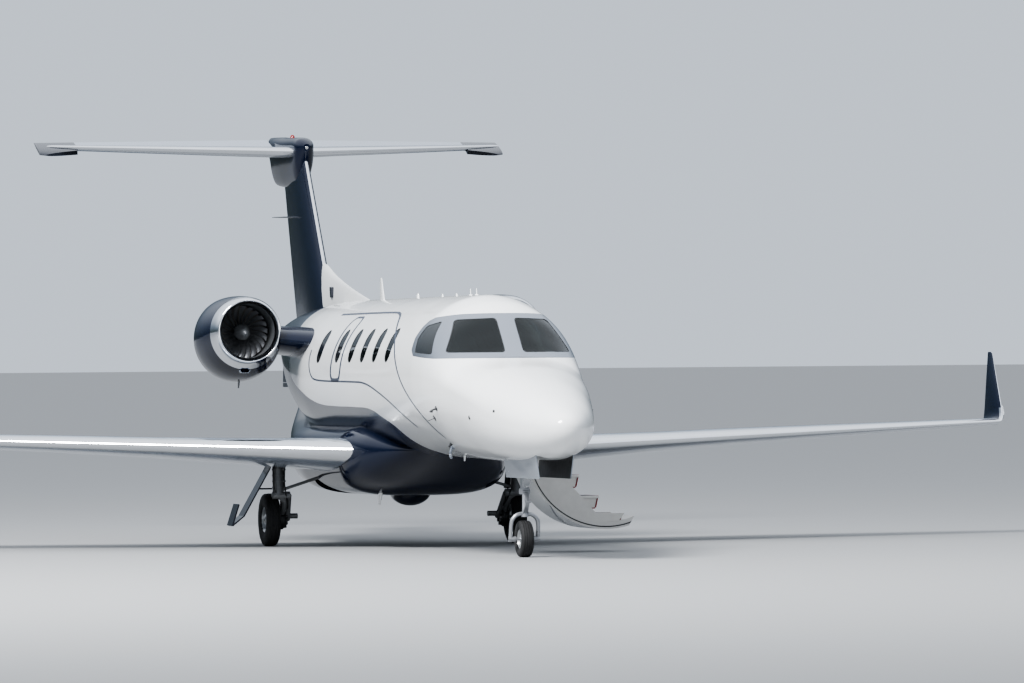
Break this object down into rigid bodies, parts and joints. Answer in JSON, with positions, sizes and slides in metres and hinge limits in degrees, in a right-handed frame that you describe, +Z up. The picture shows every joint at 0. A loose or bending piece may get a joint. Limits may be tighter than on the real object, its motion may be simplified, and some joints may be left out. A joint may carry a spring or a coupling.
{
  "type": "twin-engined light business jet",
  "caption": "Light business jet on its landing gear: T-tail, rear fuselage engines, swept wings with winglets, hollow cabin with seats and airstair let down.",
  "frame": {"origin": "on the ground under the middle of the overall length and span", "axes": "+Z up, nose towards -Y, left (port) wing towards +X"},
  "size_m": [15.9126, 15.6375, 5.0916],
  "materials": {
    "white_paint": "gloss",
    "navy_paint": "gloss",
    "bright_metal": "polished",
    "gear_metal": "satin",
    "tyre": "matte",
    "window_glass": "polished",
    "cabin_trim": "matte",
    "seat_leather": "satin",
    "panel_plastic": "matte",
    "engine_metal": "satin"
  },
  "bodies": {
    "airframe": {"nose_section": "white_paint", "cockpit_shell": "white_paint", "cabin_shell": "white_paint", "exit_hatch": "white_paint", "tail_cone": "navy_paint", "cabin_floor": "cabin_trim", "instrument_panel": "panel_plastic", "belly_fairing": "navy_paint", "fin": "navy_paint", "dorsal_fin": "white_paint", "ventral_fin": "navy_paint", "stabilizer": "bright_metal", "tail_bullet": "navy_paint", "nose_leg": "gear_metal", "windscreen_left": "window_glass", "windscreen_right": "window_glass", "cockpit_side_window_left": "window_glass", "cockpit_side_window_right": "window_glass", "cabin_glazing_left": "window_glass", "cabin_glazing_right": "window_glass", "cockpit_seat_left": "seat_leather", "cockpit_seat_right": "seat_leather", "cabin_seats_left": "seat_leather", "cabin_seats_right": "seat_leather", "nose_gear_door_left": "white_paint", "nose_gear_door_right": "white_paint", "wing_left": "navy_paint", "wing_right": "navy_paint", "wing_leading_edge_left": "bright_metal", "wing_leading_edge_right": "bright_metal", "winglet_left": "navy_paint", "winglet_right": "navy_paint", "inlet_lip_left": "bright_metal", "inlet_lip_right": "bright_metal", "nacelle_left": "navy_paint", "nacelle_right": "navy_paint", "engine_left": "engine_metal", "engine_right": "engine_metal", "pylon_left": "navy_paint", "pylon_right": "navy_paint", "main_leg_left": "gear_metal", "main_leg_right": "gear_metal", "main_gear_door_left": "navy_paint", "main_gear_door_right": "navy_paint"},
    "nose_steering": {"nose_fork": "gear_metal"},
    "nose_wheel": {"nose_wheel": "tyre"},
    "airstair": {"airstair_door": "white_paint", "airstair_steps": "white_paint"},
    "rudder": {"rudder": "navy_paint"},
    "ventral_rudder": {"ventral_rudder": "navy_paint"},
    "main_wheel_left": {"main_wheel_left": "tyre"},
    "fan_left": {"fan_left": "engine_metal"},
    "flap_left": {"flap_left": "navy_paint"},
    "aileron_left": {"aileron_left": "navy_paint"},
    "elevator_left": {"elevator_left": "white_paint"},
    "main_wheel_right": {"main_wheel_right": "tyre"},
    "fan_right": {"fan_right": "engine_metal"},
    "flap_right": {"flap_right": "navy_paint"},
    "aileron_right": {"aileron_right": "navy_paint"},
    "elevator_right": {"elevator_right": "white_paint"}
  },
  "joints": [
    {"name": "nose_steering", "type": "hinge", "parent": "airframe", "child": "nose_steering", "pos_m": [0, -5.805, 0.9], "axis": [0, 0, 1], "range_deg": [-50, 50]},
    {"name": "nose_wheel_spin", "type": "hinge", "parent": "nose_steering", "child": "nose_wheel", "pos_m": [0, -5.77, 0.205], "axis": [1, 0, 0], "continuous": true},
    {"name": "airstair_fold", "type": "hinge", "parent": "airframe", "child": "airstair", "pos_m": [0.452, -3.705, 1.19], "axis": [0, -1, 0], "range_deg": [0, 119]},
    {"name": "rudder_swing", "type": "hinge", "parent": "airframe", "child": "rudder", "pos_m": [0, 5.53754, 3.06], "axis": [0, 0.4474, 0.8943], "range_deg": [-30, 30]},
    {"name": "ventral_rudder_swing", "type": "hinge", "parent": "airframe", "child": "ventral_rudder", "pos_m": [0, 6.51, 1.94], "axis": [0, 0, 1], "range_deg": [-20, 20]},
    {"name": "main_wheel_left_spin", "type": "hinge", "parent": "airframe", "child": "main_wheel_left", "pos_m": [1.51, 0.71, 0.315], "axis": [1, 0, 0], "continuous": true},
    {"name": "fan_left_spin", "type": "hinge", "parent": "airframe", "child": "fan_left", "pos_m": [1.6, 1.82, 2.56], "axis": [0, 1, 0], "continuous": true},
    {"name": "flap_left_droop", "type": "hinge", "parent": "airframe", "child": "flap_left", "pos_m": [1.12, 0.70029, 1.02469], "axis": [-0.9815, -0.1821, -0.0593], "range_deg": [0, 35]},
    {"name": "aileron_left_swing", "type": "hinge", "parent": "airframe", "child": "aileron_left", "pos_m": [5.36, 1.50415, 1.27798], "axis": [-0.9775, -0.2076, -0.0382], "range_deg": [-25, 25]},
    {"name": "elevator_left_swing", "type": "hinge", "parent": "airframe", "child": "elevator_left", "pos_m": [0.19, 6.63766, 4.86779], "axis": [0.9401, 0.3387, 0.0385], "range_deg": [0, 47]},
    {"name": "main_wheel_right_spin", "type": "hinge", "parent": "airframe", "child": "main_wheel_right", "pos_m": [-1.51, 0.71, 0.315], "axis": [1, 0, 0], "continuous": true},
    {"name": "fan_right_spin", "type": "hinge", "parent": "airframe", "child": "fan_right", "pos_m": [-1.6, 1.82, 2.56], "axis": [0, 1, 0], "continuous": true},
    {"name": "flap_right_droop", "type": "hinge", "parent": "airframe", "child": "flap_right", "pos_m": [-1.12, 0.70029, 1.02469], "axis": [-0.9815, 0.1821, 0.0593], "range_deg": [0, 35]},
    {"name": "aileron_right_swing", "type": "hinge", "parent": "airframe", "child": "aileron_right", "pos_m": [-5.36, 1.50415, 1.27798], "axis": [-0.9775, 0.2076, 0.0382], "range_deg": [-25, 25]},
    {"name": "elevator_right_swing", "type": "hinge", "parent": "airframe", "child": "elevator_right", "pos_m": [-0.19, 6.63766, 4.86779], "axis": [0.9401, -0.3387, -0.0385], "range_deg": [0, 47]}
  ],
  "couplings": [
    {"joint": "flap_right_droop", "follows": "flap_left_droop", "ratio": 1},
    {"joint": "aileron_right_swing", "follows": "aileron_left_swing", "ratio": -1},
    {"joint": "elevator_right_swing", "follows": "elevator_left_swing", "ratio": 1}
  ]
}
